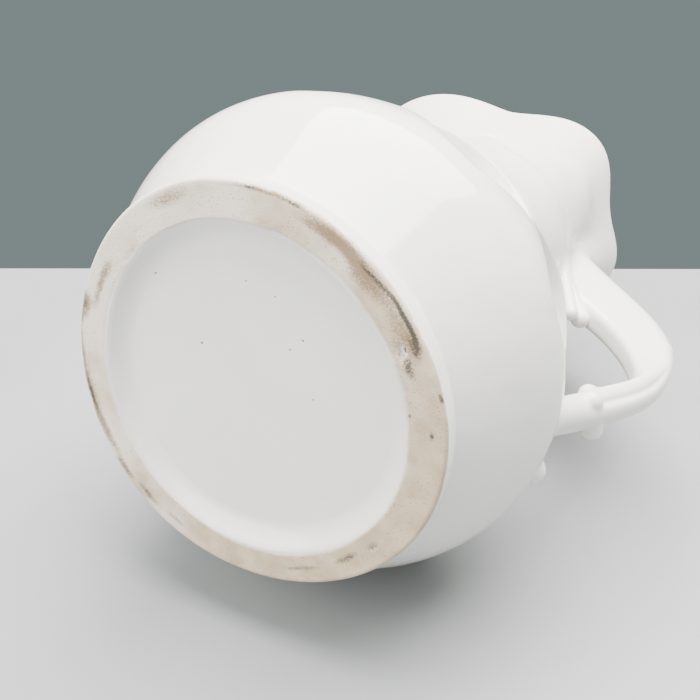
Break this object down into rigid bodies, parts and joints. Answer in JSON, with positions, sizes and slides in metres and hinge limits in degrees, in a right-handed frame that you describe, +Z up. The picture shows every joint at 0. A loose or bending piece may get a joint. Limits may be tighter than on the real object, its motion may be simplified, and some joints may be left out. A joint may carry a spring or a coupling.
{
  "type": "ironstone pitcher",
  "caption": "Round-bellied white ceramic pitcher with a foot ring, arched shoulder, lobed rim, spout and twig handle.",
  "frame": {"origin": "middle of the bounding box, on the plane that the foot ring stands on", "axes": "+Z up along the body's axis, +X towards the handle, -X towards the spout"},
  "size_m": [0.2014, 0.1762, 0.251],
  "materials": {
    "white_glaze": "white glossy ironstone glaze, with a bare beige foot ring"
  },
  "bodies": {
    "root": {"pitcher": "white_glaze"}
  },
  "joints": []
}
